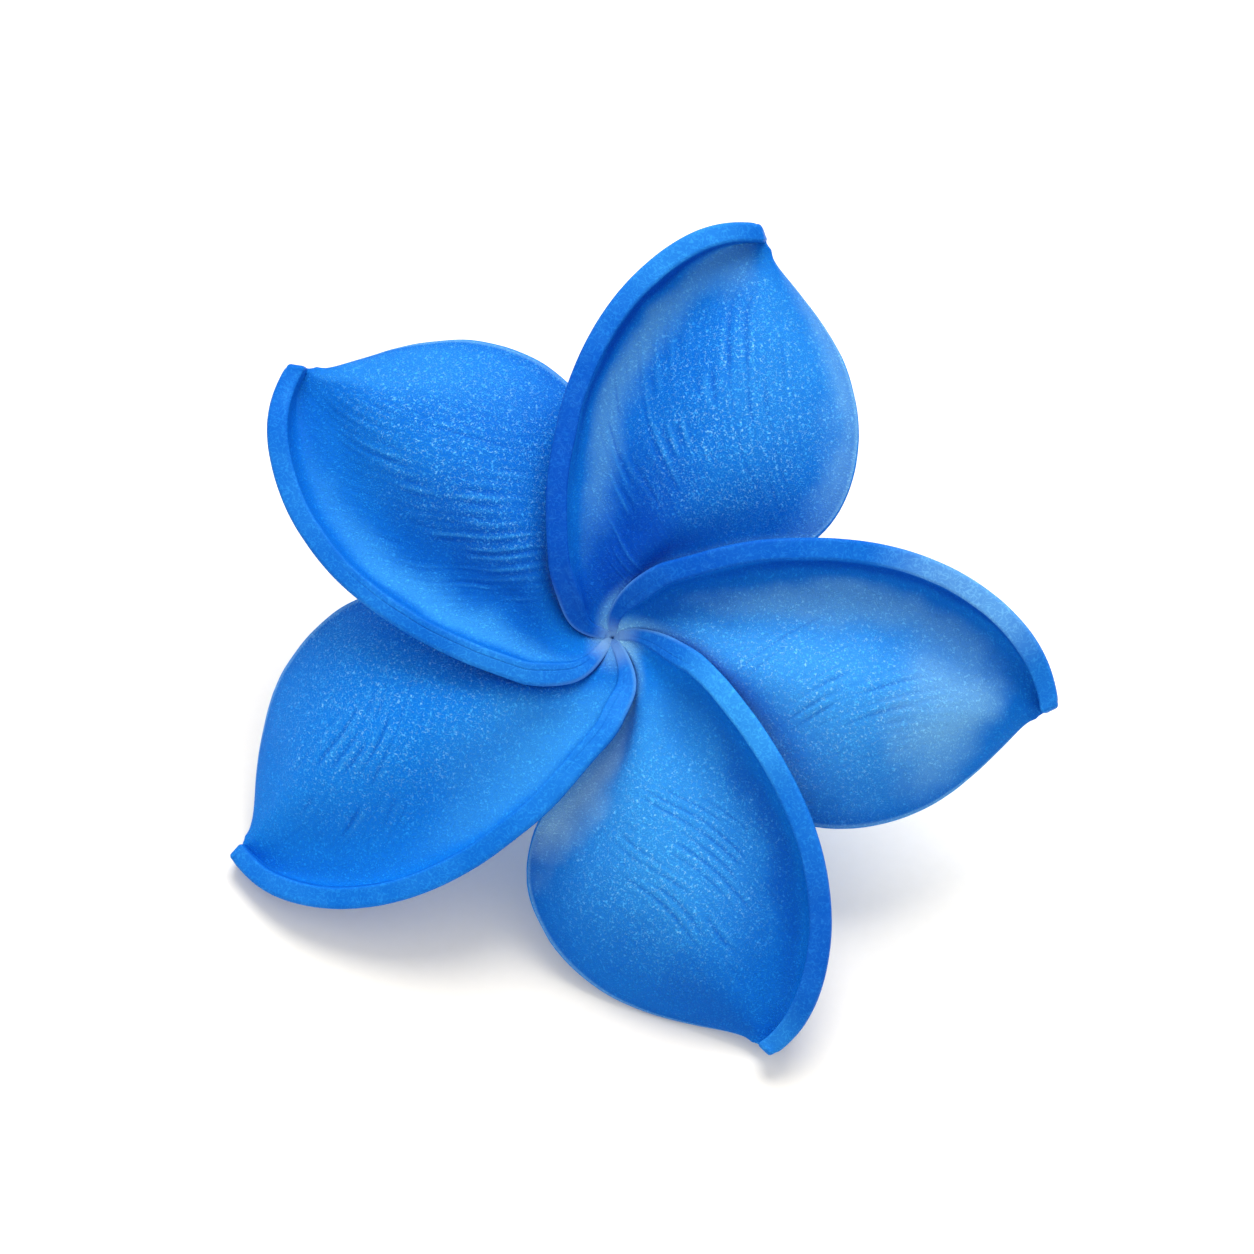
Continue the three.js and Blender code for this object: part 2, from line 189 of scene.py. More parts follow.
def grown(line, replaced, length_scale, width_scale):
    """An outline stretched to a petal's own length and width, with some of its points replaced."""
    line = np.array([replaced.get(i, point) for i, point in enumerate(line)], float)
    own = rise(*OWN_SIZE, np.hypot(line[:, 0], line[:, 1]))
    line[:, 0] *= 1 + (length_scale - 1) * own
    line[:, 1] *= 1 + (width_scale - 1) * own
    return line


def rim_thickness(s):
    return (RIM_THICK * blend(RIM_THICKENS, s, RIM_THICK_AT_ROOT, 1)
            * blend(RIM_THINS, s, 1, RIM_THICK_AT_TIP))


def sheet_thickness(s, t):
    middle = MID_THICK * blend(SHEET_THICKENS, s, SHEET_THICK_AT_ROOT, 1)
    blade = blend(FROM_FREE_EDGE, t, np.minimum(FREE_THICK, middle), middle)
    return blend(TOWARDS_RIM, t, blade, np.maximum(rim_thickness(s), middle))


def cross_section(s, width, free_drop):
    """Spline points of a petal's section, mm: across it from the free edge, and up."""
    rim = RIM_HEIGHT * blend(RIM_GROWS, s, RIM_AT_ROOT, 1) * blend(RIM_LOWERS, s, 1, RIM_AT_TIP)
    crown = CROWN_HEIGHT * rise(*CROWN_GROWS, s) * (1 - rise(*CROWN_FADES, s))
    clear = rise(*EDGE_COMES_CLEAR, s)
    drop = free_drop * rise(*DROP_GROWS, s) * blend(DROP_FADES, s, 1, DROP_AT_TIP)
    drop += EDGE_ROLL * clear * (1 - rise(*ROLL_FADES, s))
    zone = min(DROP_ZONE, DROP_SHARE * width)
    start = CROWN_START_SHARE * width
    valley_at = width - min(VALLEY_FROM_RIM, VALLEY_SHARE * width)
    wall_at = width - min(0.5 * rim_thickness(s), WALL_SHARE * width)
    step = (valley_at - start) / 3
    slope = valley_at - wall_at
    return [
        (min(0.2, width / 30), -drop),
        (0.50 * zone, (-0.85 + 0.4 * clear) * drop),
        (1.2 * zone, (0.05 + 0.25 * clear) * crown - 0.30 * drop * (1 - clear)),
        (start, 0.85 * crown),
        (start + step, crown),
        (start + 2 * step, 0.6 * crown),
        (valley_at, 0),
        (wall_at + 0.52 * slope, 0.03 * rim),
        (wall_at + 0.20 * slope, 0.17 * rim),
        (wall_at, 0.52 * rim),
        (wall_at, rim),
    ]


def fine_points(lip):
    """The points of both outlines that differ from the solid's; the lip is its extra length, mm."""
    ahead = np.array(LIP_HEADING)
    end = np.array(LIP_START) + ahead * lip
    inner = end + LIP_WIDTH * np.array([ahead[1], -ahead[0]])
    return {**FINE_RIM_POINTS, 12: end}, {**FINE_FREE_POINTS, 11: inner - NOTCH_BACK, 12: inner}


def middle_surface(k, steps, lip=None):
    """Points, plan coordinates (u, v) and (s, t) of a petal's middle surface, on a grid root to tip.
    Without a lip it is the solid's, with one the finished petal's."""
    petal, root_azimuth = PETALS[k], FIRST_ROOT_AZIMUTH + 360 / len(PETALS) * k
    rim_points, free_points = ({}, {}) if lip is None else fine_points(lip)
    along, across = steps
    ss, tt = np.linspace(0, 1, along + 1), np.linspace(0, 1, across + 1)
    length_scale = petal["length"] / PLAN_LENGTH
    rim = spline(grown(RIM_LINE, rim_points, length_scale, petal["rim_width"] / PLAN_RIM_WIDTH), ss)
    free = spline(grown(FREE_LINE, free_points, length_scale, petal["free_width"] / PLAN_FREE_WIDTH), ss)
    reach = np.hypot(rim[:, 0], rim[:, 1])
    rim[:, 1] += petal["bulge"] * rise(*BULGE_GROWS, reach) * (1 - rise(*BULGE_FADES, reach))
    plan = np.zeros((along + 1, across + 1, 2))
    height = np.zeros((along + 1, across + 1))
    for i, s in enumerate(ss):
        chord = rim[i] - free[i]
        width = np.hypot(*chord)
        section = spline(cross_section(s, width, petal.get("free_drop", FREE_DROP)), tt)
        plan[i] = free[i] + chord / width * section[:, :1]
        height[i] = section[:, 1]
    u, v = plan[..., 0], plan[..., 1]
    r = np.hypot(u, v)
    height -= THROAT_DEPTH * np.exp(-r / THROAT_REACH) + BEND * np.maximum(r - BEND_FROM, 0)**2
    height -= petal.get("droop", 0) * np.maximum((r - DROOP_FROM) / DROOP_REACH, 0)**2
    turn = blend(OWN_AZIMUTH, r, root_azimuth, petal["azimuth"])
    if lip is not None:
        turn += ROOT_TWIST * (1 - rise(*TWIST_FADES, r))
    turn = np.radians(turn)
    points = np.stack([u * np.cos(turn) - v * np.sin(turn), u * np.sin(turn) + v * np.cos(turn), height], -1)
    if lip is not None:
        points[..., :2] += np.array(ROOT_SHIFT) * (1 - rise(*SHIFT_FADES, r))[..., None]
    s, t = np.meshgrid(ss, tt, indexing="ij")
    return points, plan, s, t


def grid_normals(points):
    return unit(np.cross(np.gradient(points, axis=0), np.gradient(points, axis=1)))


def solid_points(k):
    """Both faces of the petal's solid, as it was thickened in the part's source."""
    points, _, s, t = middle_surface(k, SOLID_STEPS)
    half = grid_normals(points) * sheet_thickness(s, t)[..., None] / 2
    return np.concatenate([(points + half).reshape(-1, 3), (points - half).reshape(-1, 3)])


def stalk_end():
    angle = np.arange(ROUND_STEPS) * 2 * np.pi / ROUND_STEPS
    x = STALK_END[0] + STALK_END_RADIUS * np.cos(angle)
    y = STALK_END[1] + STALK_END_RADIUS * np.sin(angle)
    return np.stack([x, y, np.full(ROUND_STEPS, STALK_END_Z)], -1)


def resting_turn():
    """Rotation from the flower's frame to the frame it lies in, on two petals and the stalk's end."""
    feet = [solid_points(2), solid_points(3), stalk_end()]
    down = np.array(LEANS_TOWARDS)
    for _ in range(SETTLING_STEPS):
        a, b, c = [points[(points @ down).argmax()] for points in feet]
        normal = unit(np.cross(b - a, c - a))
        down = -normal if normal @ down < 0 else normal
    axis = np.cross(down, (0, 0, -1))
    k = np.array([[0, -axis[2], axis[1]], [axis[2], 0, -axis[0]], [-axis[1], axis[0], 0]])
    return np.eye(3) + k + k @ k / (1 - down[2])


TURN = resting_turn()
SHIFT = np.array(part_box("petal_1")[0]) / MM - (solid_points(0) @ TURN.T).min(0)


def laid(points):
    """Points of the flower's frame, mm, in the row's frame, metres."""
    return (points @ TURN.T + SHIFT) * MM


def lattice(ix, iy, seed):
    """A fixed value from -1 to 1 for each whole-numbered place: both numbers and the seed are
    multiplied by large odd numbers and their bits are mixed."""
    n =(ix * 374761393 + iy * 668265263 + seed * 974634777) & 0xFFFFFFFF
    n = ((n ^ (n >> 13)) * 1274126177) & 0xFFFFFFFF
    return ((n ^ (n >> 16)) & 0xFFFF) / 32767.5 - 1


def noise(x, y, seed):
    """Smooth noise from -1 to 1 with a cell of 1."""
    ix, iy = np.floor(x).astype(np.int64), np.floor(y).astype(np.int64)
    fx, fy = x - ix, y - iy
    fx, fy = fx * fx * (3 - 2 * fx), fy * fy * (3 - 2 * fy)
    low = lattice(ix, iy, seed) * (1 - fx) + lattice(ix + 1, iy, seed) * fx
    high = lattice(ix, iy + 1, seed) * (1 - fx) + lattice(ix + 1, iy + 1, seed) * fx
    return low * (1 - fy) + high * fy


def folded(line):
    """Rounded ridges with narrower valleys, from -0.6 to 0.4, one to each unit."""
    return (0.5 - 0.5 * np.cos(2 * np.pi * line))**0.7 - 0.6


def creases(plan, s, t, region, seed):
    """Creases and fainter hairlines of a petal, from about -0.8 to 0.5. The region is its middle
    (s, t), its reach, how steeply its creases turn to the rim and how far apart they are, mm."""
    middle_s, middle_t, reach_s, reach_t, turn, spacing = region
    u, v = plan[..., 0], plan[..., 1]
    x = u - CREASE_ARC_START
    line = v - turn * (CREASE_ARC_SLOPE * x - CREASE_ARC_BEND * x**2)
    line += CREASE_SWAY * noise(u / CREASE_SWAY_LENGTH, v / CREASE_SWAY_LENGTH, seed)
    away = np.hypot((s - middle_s) / reach_s, (t - middle_t) / reach_t)
    coarse, fine = line / spacing, line / HAIRLINE_SPACING
    lengthwise = u + 0.9 * v
    uneven = rise(-0.5, 0.7, noise(coarse * 0.9, lengthwise / CREASE_LENGTH, seed + 1))
    faint = rise(-0.6, 0.6, noise(fine * 0.5, lengthwise / HAIRLINE_LENGTH, seed + 2))
    near, wide = 1 - rise(0.2, 1.0, away), 1 - rise(0.5, 1.6, away)
    return folded(coarse) * uneven * near + HAIRLINE_SHARE * folded(fine) * faint * wide


def lumps(plan, s, seed):
    u, v = plan[..., 0] / LUMP_SIZE, plan[..., 1] / LUMP_SIZE
    both = noise(u, v, seed) + 0.4 * noise(u * 2.3, v * 2.3, seed + 1)
    return LUMP_HEIGHT * both * rise(*LUMPS_GROW, s)


def drawn_in(face, amount):
    """A face whose three free sides are drawn in by an amount, mm; what lies near them follows."""
    face = face.copy()
    across = face.swapaxes(0, 1)
    for side, by in ((face[::-1], amount[-1]), (across, amount[:, 0]), (across[::-1], amount[:, -1])):
        steps = np.linalg.norm(np.diff(side, axis=0), axis=-1)
        far = np.concatenate([np.zeros_like(steps[:1]), np.cumsum(steps, 0)])
        inwards = unit(side[1] - side[0]) * by[:, None]
        side += inwards * np.maximum(1 - far / ROUND_REACH, 0)[..., None]**2
    return face


def seam_distance(k, points):
    """How far points of a petal are from the outline of the rim that covers its free side, mm."""
    covering = (k - 1) % len(PETALS)
    rim = middle_surface(covering, SEAM_STEPS, LOOKS[covering]["lip"])[0][:, -1, :2]
    gap = points[..., None, :2] - rim
    return np.sqrt((gap**2).sum(-1).min(-1))


def cut_depth(s, t, cut):
    """Depth of the line that is cut along the rim's border, mm, which only runs where t is 1."""
    first, last, depth = cut
    starts = rise(first + CUT_STARTS[0], first + CUT_STARTS[1], s)
    ends = 1 - rise(last + CUT_ENDS[0], last + CUT_ENDS[1], s)
    return depth * (starts * ends * (t == 1))


def border_rings(k, upper, lower, middle, normal, inner, outer, cut):
    """Rings of points round the border, from the upper face's outline to the lower face's. Inner and
    outer are the radii of its two corners, and cut is the depth of its cut line, mm."""
    out = unit(np.cross(np.roll(middle, -1, 0) - np.roll(middle, 1, 0), normal))
    walked = np.cumsum(np.linalg.norm(middle - np.roll(middle, 1, 0), axis=1))
    wobble = BORDER_WOBBLE * noise(walked / BORDER_WAVE, 0 * walked, k)[:, None]
    rings = []
    for degrees in INNER_CORNER:
        a = math.radians(degrees)
        shift = out * (math.sin(a) * inner + wobble) - normal * (1 - math.cos(a)) * inner
        rings.append(upper + shift)
    start = rings[-1]
    shoulder = lower + out * (outer + wobble) + normal * outer
    for share, sunk in FLAT_RINGS:
        rings.append(start + (shoulder - start) * share - out * sunk * cut)
    for degrees in OUTER_CORNER:
        a = math.radians(degrees)
        shift = out * (math.sin(a) * outer + wobble) + normal * (1 - math.cos(a)) * outer
        rings.append(lower + shift)
    return rings


def petal_maps(k, points, s, t, folds, loop, ring_count):
    """The petal's three UV maps, for the vertices of both faces and then of the rings:
    petal_plan is (s, t). petal_seam is the distance to the covering rim, or on the border the share
    of the way across it, and then the distance from the middle; lengths are in spans of MAP_SPAN.
    petal_folds is the height of the creases, with 0.5 for none, and t."""
    radius = np.hypot(points[..., 0], points[..., 1]) / MAP_SPAN
    plan_map = np.stack([s, t], -1).reshape(-1, 2)
    seam_map = np.stack([seam_distance(k, points) / MAP_SPAN, radius], -1).reshape(-1, 2)
    fold_map = np.stack([0.5 + 0.5 * folds, t], -1).reshape(-1, 2)
    border = []
    for i in range(ring_count):
        share = np.full(len(loop), (i + 1) / (ring_count + 1))
        border.append(np.stack([share, seam_map[loop, 1]], -1))
    return {
        "petal_plan": np.concatenate([plan_map, plan_map] + [plan_map[loop]] * ring_count),
        "petal_seam": np.concatenate([seam_map, seam_map] + border),
        "petal_folds": np.concatenate([fold_map, fold_map] + [fold_map[loop]] * ring_count),
    }


def petal_faces(at, loop, ring_count):
    """Faces of both skins and of the border between them, and for each whether it is border."""
    a, b, c, d = at[:-1, :-1].ravel(), at[1:, :-1].ravel(), at[1:, 1:].ravel(), at[:-1, 1:].ravel()
    skins = [np.stack([a, b, c, d], -1), np.stack([a, d, c, b], -1) + at.size]
    rings = [2 * at.size + len(loop) * i + np.arange(len(loop)) for i in range(ring_count)]
    levels = [loop, *rings, loop + at.size]
    strips = []
    for p, q in zip(levels[:-1], levels[1:]):
        strips.append(np.stack([p, q, np.roll(q, -1), np.roll(p, -1)], -1))
    kinds = [0] * (2 * len(a)) + [1] * (len(strips) * len(loop))
    return np.concatenate(skins + strips), kinds


def petal_mesh(k, look):
    """Vertices, faces, UV maps and face kinds of a finished petal."""
    points, plan, s, t = middle_surface(k, FINE_STEPS, look["lip"])
    normals = grid_normals(points)
    thick = sheet_thickness(s, t)
    # each petal has seeds of its own for its creases and its lumps
    folds = creases(plan, s, t, look["creases"], 31 * k + 7)
    relief = look["crease_depth"] * folds + lumps(plan, s, 17 * k + 3)
    fuller = FULLER_BY * (1 - rise(*FULLER_ALONG, s)) * rise(*FULLER_ACROSS, t)
    upper = points + normals * (thick / 2 + relief)[..., None]
    lower = points - normals * (thick / 2 + fuller - RELIEF_BELOW * relief)[..., None]
    inner = np.minimum(INNER_ROUND, ROUND_SHARE * thick)
    outer = np.minimum(OUTER_ROUND, ROUND_SHARE * thick)
    upper, lower = drawn_in(upper, inner), drawn_in(lower, outer)

    at = np.arange(s.size).reshape(s.shape)
    loop = np.concatenate([at[:-1, 0], at[-1, :-1], at[:0:-1, -1], at[0, :0:-1]])
    grids = (upper, lower, points, normals, inner, outer, cut_depth(s, t, look["cut"]))
    rings = border_rings(k, *(grid.reshape(s.size, -1)[loop] for grid in grids))
    verts = np.concatenate([upper.reshape(-1, 3), lower.reshape(-1, 3), *rings])
    faces, kinds = petal_faces(at, loop, len(rings))
    return laid(verts), faces, petal_maps(k, points, s, t, folds, loop, len(rings)), kinds


def make_object(name, verts, faces, materials, maps=None, kinds=None):
    """A smooth-shaded mesh object; kinds gives each face's material by number."""
    mesh = bpy.data.meshes.new(name)
    mesh.from_pydata(verts.tolist(), [], faces.tolist())
    for material in materials:
        mesh.materials.append(material)
    if kinds is not None:
        mesh.polygons.foreach_set("material_index", np.array(kinds, np.int32))
    mesh.polygons.foreach_set("use_smooth", np.ones(len(mesh.polygons), bool))
    corner = np.zeros(len(mesh.loops), np.int32)
    mesh.loops.foreach_get("vertex_index", corner)
    for label, uv in (maps or {}).items():
        layer = mesh.uv_layers.new(name=label)
        layer.uv.foreach_set("vector", uv[corner].astype(np.float32).ravel())
    mesh.update()
    obj = bpy.data.objects.new(name, mesh)
    bpy.context.scene.collection.objects.link(obj)
    return obj


class Nodes:
    """A small helper that adds nodes to one material."""

    def __init__(self, name):
        self.material = bpy.data.materials.new(name)
        self.material.use_nodes = True
        self.tree = self.material.node_tree
        self.shader = self.tree.nodes["Principled BSDF"]

    def put(self, value, socket):
        """Links a socket, or sets a constant value on it."""
        if isinstance(value, bpy.types.NodeSocket):
            self.tree.links.new(value, socket)
        else:
            socket.default_value = value

    def finish(self, values):
        """The material, once the shader's inputs have their values."""
        for key, value in values.items():
            self.put(value, self.shader.inputs[key])
        return self.material

    def add(self, kind, values=(), **settings):
        node = self.tree.nodes.new(kind)
        for key, value in settings.items():
            setattr(node, key, value)
        for key, value in dict(values).items():
            self.put(value, node.inputs[key])
        return node

    def math(self, operation, a, b=0.0):
        return self.add("ShaderNodeMath", {0: a, 1: b}, operation=operation).outputs[0]

    def vector(self, operation, a, b=(0, 0, 0), c=(0, 0, 0)):
        return self.add("ShaderNodeVectorMath", {0: a, 1: b, 2: c}, operation=operation).outputs[0]

    def place(self):
        """The point's own place, metres."""
        return self.add("ShaderNodeTexCoord").outputs["Object"]

    def map(self, name):
        return self.add("ShaderNodeUVMap", uv_map=name).outputs[0]

    def parts(self, vector):
        """The first two numbers of a vector."""
        split = self.add("ShaderNodeSeparateXYZ", {0: vector})
        return split.outputs[0], split.outputs[1]

    def ramp(self, value, low, high, start=0.0, end=1.0):
        """Smooth step of a value between low and high."""
        values = {0: value, 1: low, 2: high, 3: start, 4: end}
        return self.add("ShaderNodeMapRange", values, interpolation_type="SMOOTHSTEP").outputs[0]

    def times(self, *values):
        product = values[0]
        for value in values[1:]:
            product = self.math("MULTIPLY", product, value)
        return product

    def noise(self, vector, scale, detail=2.0, roughness=0.5, distortion=0.0, output="Fac"):
        values = {"Vector": vector, "Scale": scale, "Detail": detail, "Roughness": roughness}
        values["Distortion"] = distortion
        return self.add("ShaderNodeTexNoise", values).outputs[output]

    def spot(self, plan, at, reach):
        """A soft ellipse on the petal's (s, t) plan."""
        scale = (1 / reach[0], 1 / reach[1], 0)
        start = (-at[0] / reach[0], -at[1] / reach[1], 0)
        values = {0: self.vector("MULTIPLY_ADD", plan, scale, start)}
        away = self.add("ShaderNodeVectorMath", values, operation="LENGTH").outputs["Value"]
        return self.ramp(away, 1.0, 0.2)

    def worms(self, place, scale):
        """Short curved ridges, like the ones on the skin of a petal."""
        field = self.noise(place, scale, 0.0, 0.5, 0.6)
        line = self.ramp(self.math("ABSOLUTE", self.math("SUBTRACT", field, 0.5)), 0.09, 0.01)
        return self.times(line, self.ramp(self.noise(place, scale * 0.6), 0.30, 0.55, 0.55, 1.0))

    def grain_sheen_and_shade(self, shade, grain):
        """A shade made lighter on the ridges of the grain and a little darker between them: painted sheen on
        the ridges and painted shade in the hollows.
        """
        dark = self.vector("MULTIPLY", shade, (0.74, 0.85, 0.93))
        light = self.vector("MULTIPLY_ADD", shade, (1.30, 1.29, 1.12), (0.005, 0.011, 0.011))
        return self.mix(grain, dark, light)

    def mix(self, share, a, b):
        node = self.add("ShaderNodeMix", data_type="RGBA", clamp_factor=True)
        for value, socket in ((share, 0), (a, 6), (b, 7)):
            self.put(value, node.inputs[socket])
        return node.outputs[2]

    def bump(self, height, strength, distance, below=None):
        values = {"Height": height, "Strength": strength, "Distance": distance}
        if below is not None:
            values["Normal"] = below
        return self.add("ShaderNodeBump", values).outputs[0]


def colour(red, green, blue):
    """An sRGB colour out of 255 as a linear RGBA value."""
    parts = [c / 255 for c in (red, green, blue)]
    return tuple(((c + 0.055) / 1.055)**2.4 if c > 0.04045 else c / 12.92 for c in parts) + (1.0,)


BLUE = colour(4, 108, 206)
BLUE_TOO = colour(12, 116, 211)
BORDER_BLUE = colour(10, 104, 200)
BORDER_BLUE_TOO = colour(26, 118, 210)
# painted shade: a deeper blue where shade falls, in hollows, under rims and along the free edges
PAINTED_SHADE_BLUE = colour(0, 74, 180)
# painted light: a lighter blue where light falls, on crowns, crease ridges and the free border; on the
# border it also tints the scuffs
PAINTED_LIGHT_AND_SCUFF = colour(54, 152, 230)
# painted soft shadow: a greyed blue where shade falls soft on the valley
PAINTED_SOFT_SHADOW = colour(86, 150, 210)
# painted pale light, on lit parts of the petals, the free border and lit parts of the border
PAINTED_PALE_LIGHT = colour(128, 188, 234)
# painted light: a brighter blue where light falls
PAINTED_BRIGHT_LIGHT = colour(14, 134, 236)
# the seams' own pale tint, made stronger as painted light over the shade beside the covering rims
SEAM_TINT_AND_LIGHT = colour(130, 200, 246)
# painted pale light, whitish, over the shade beside a covering rim
PAINTED_WHITE_LIGHT = colour(176, 226, 250)
# grey-white of the middle: partly the flower's own pale tint, partly painted light in the throat's shade
GREY = colour(168, 212, 234)
# painted highlights: glints on the grain and a lit crown; the glint colour also tints the border's fine
# marks
GLINT = colour(70, 168, 248)
SPARK = colour(150, 212, 255)
FLOOR_SHADES = (0.955, 0.917, 0.840, 1), (0.965, 0.927, 0.850, 1)

# Each petal's look. "lip" is its tip's extra length, mm. "cut" is from where to where (s) a line is
# cut along its rim's border, and how deep, mm. "creases" is the region that creases() takes. "root" is
# how pale the middle is, partly its own tint and partly painted light in the throat's shade. "seam" is
# the pale seam's width and length, mm, and strength, partly its own tint and partly painted light on
# the shade beside the covering rim. "glints" are painted highlights; they and the patches of painted
# light and shade give a middle (s, t), a reach and a strength on the petal's plan. The border's list
# tints the border with painted light and shade, by a middle s, a reach and a strength.
LOOKS = [
    dict(lip=0.3, cut=(0.10, 0.30, 0.04), crease_depth=0.14, creases=(0.56, 0.42, 0.36, 0.44, 0.95, 1.60),
         root=0.65, seam=(2.4, 28, 1.0), glints=((0.68, 0.34), (0.28, 0.42), 0.80),
         lit_and_shaded_patches=[(PAINTED_SHADE_BLUE, (0.36, 0.50), (0.30, 0.38), 1.0), (PAINTED_SHADE_BLUE, (0.22, 0.85), (0.18, 0.35), 0.9),
                  (PAINTED_BRIGHT_LIGHT, (0.36, 0.14), (0.22, 0.20), 0.8), (PAINTED_SOFT_SHADOW, (0.62, 0.72), (0.32, 0.12), 0.8),
                  (PAINTED_LIGHT_AND_SCUFF, (0.76, 0.24), (0.24, 0.28), 0.4), (PAINTED_SOFT_SHADOW, (0.87, 0.60), (0.12, 0.34), 0.6),
                  (PAINTED_SHADE_BLUE, (0.74, 0.91), (0.34, 0.10), 1.0), (PAINTED_PALE_LIGHT, (0.72, 0.00), (0.34, 0.14), 0.5)],
         border_lit_and_shaded=[(PAINTED_SHADE_BLUE, 0.38, 0.44, 1.0), (PAINTED_LIGHT_AND_SCUFF, 0.84, 0.14, 0.4)]),
    dict(lip=0.2, cut=(0.10, 0.62, 0.08), crease_depth=0.15, creases=(0.55, 0.42, 0.28, 0.34, 0.78, 1.40),
         root=0.6, seam=(1.5, 7, 0.9), glints=((0.64, 0.24), (0.34, 0.38), 0.65),
         lit_and_shaded_patches=[(PAINTED_SHADE_BLUE, (0.48, 0.46), (0.24, 0.24), 0.5), (PAINTED_LIGHT_AND_SCUFF, (0.46, 0.76), (0.42, 0.15), 0.95),
                  (PAINTED_BRIGHT_LIGHT, (0.18, 0.52), (0.18, 0.30), 0.9), (PAINTED_LIGHT_AND_SCUFF, (0.80, 0.14), (0.24, 0.20), 0.4)],
         border_lit_and_shaded=[(PAINTED_LIGHT_AND_SCUFF, 0.36, 0.12, 0.2)]),
    dict(lip=0.5, cut=(0.12, 0.40, 0.07), crease_depth=0.13, creases=(0.66, 0.42, 0.18, 0.30, 1.20, 1.50),
         root=0.3, seam=(1.2, 6, 0.7), glints=((0.56, 0.28), (0.36, 0.46), 0.75),
         lit_and_shaded_patches=[(PAINTED_BRIGHT_LIGHT, (0.72, 0.48), (0.70, 0.80), 0.75), (PAINTED_LIGHT_AND_SCUFF, (0.38, 0.64), (0.28, 0.36), 0.9),
                  (PAINTED_LIGHT_AND_SCUFF, (0.05, 0.60), (0.10, 0.60), 0.4), (PAINTED_LIGHT_AND_SCUFF, (0.40, 0.72), (0.34, 0.14), 0.60),
                  (PAINTED_SHADE_BLUE, (0.60, 0.93), (0.60, 0.07), 0.5)],
         border_lit_and_shaded=[(PAINTED_LIGHT_AND_SCUFF, 0.28, 0.24, 0.3), (PAINTED_BRIGHT_LIGHT, 0.60, 0.60, 0.3)]),
    dict(lip=0.7, cut=(0.08, 0.32, 0.06), crease_depth=0.13, creases=(0.64, 0.44, 0.23, 0.32, 0.75, 1.20),
         root=0.45, seam=(2.4, 28, 1.0), glints=((0.56, 0.40), (0.30, 0.42), 0.70),
         lit_and_shaded_patches=[(PAINTED_BRIGHT_LIGHT, (0.20, 0.55), (0.20, 0.60), 0.8), (PAINTED_LIGHT_AND_SCUFF, (0.50, 0.42), (0.34, 0.40), 0.9),
                  (PAINTED_SHADE_BLUE, (0.62, 0.72), (0.28, 0.10), 0.5), (PAINTED_SHADE_BLUE, (0.84, 0.22), (0.20, 0.30), 0.4),
                  (PAINTED_LIGHT_AND_SCUFF, (0.05, 0.50), (0.14, 0.90), 0.8), (PAINTED_LIGHT_AND_SCUFF, (0.24, 0.20), (0.16, 0.26), 0.9),
                  (PAINTED_WHITE_LIGHT, (0.45, 0.08), (0.13, 0.20), 0.9)],
         border_lit_and_shaded=[(PAINTED_SHADE_BLUE, 0.18, 0.10, 0.3), (PAINTED_LIGHT_AND_SCUFF, 0.42, 0.18, 1.0), (PAINTED_SHADE_BLUE, 0.76, 0.18, 0.6),
               (PAINTED_LIGHT_AND_SCUFF, 0.96, 0.08, 0.4)]),
    dict(lip=1.0, cut=(0.12, 0.30, 0.05), crease_depth=0.14, creases=(0.59, 0.40, 0.20, 0.30, 0.90, 1.30),
         root=0.6, seam=(2.6, 26, 1.0), glints=((0.54, 0.36), (0.36, 0.46), 0.90),
         lit_and_shaded_patches=[(PAINTED_SHADE_BLUE, (0.26, 0.74), (0.24, 0.36), 0.4), (PAINTED_SHADE_BLUE, (0.62, 0.88), (0.42, 0.10), 0.8),
                  (GLINT, (0.52, 0.36), (0.38, 0.46), 0.8), (PAINTED_PALE_LIGHT, (0.58, 0.66), (0.30, 0.12), 0.40),
                  (PAINTED_PALE_LIGHT, (0.77, 0.36), (0.12, 0.38), 0.7), (PAINTED_SHADE_BLUE, (0.99, 0.45), (0.10, 0.70), 0.5),
                  (PAINTED_LIGHT_AND_SCUFF, (0.05, 0.50), (0.14, 0.80), 0.7)],
         border_lit_and_shaded=[(PAINTED_SHADE_BLUE, 0.30, 0.36, 0.7), (PAINTED_PALE_LIGHT, 0.76, 0.16, 0.6)]),
]


def pale_root(n, shade, radius, reach, strength):
    """A shade that turns grey-white towards the flower's middle, within a reach in mm: partly the middle's
    own pale tint, partly painted light over the throat's shade.
    """
    return n.mix(n.times(n.ramp(radius, reach / MAP_SPAN, 0.6 / MAP_SPAN), strength), shade, GREY)


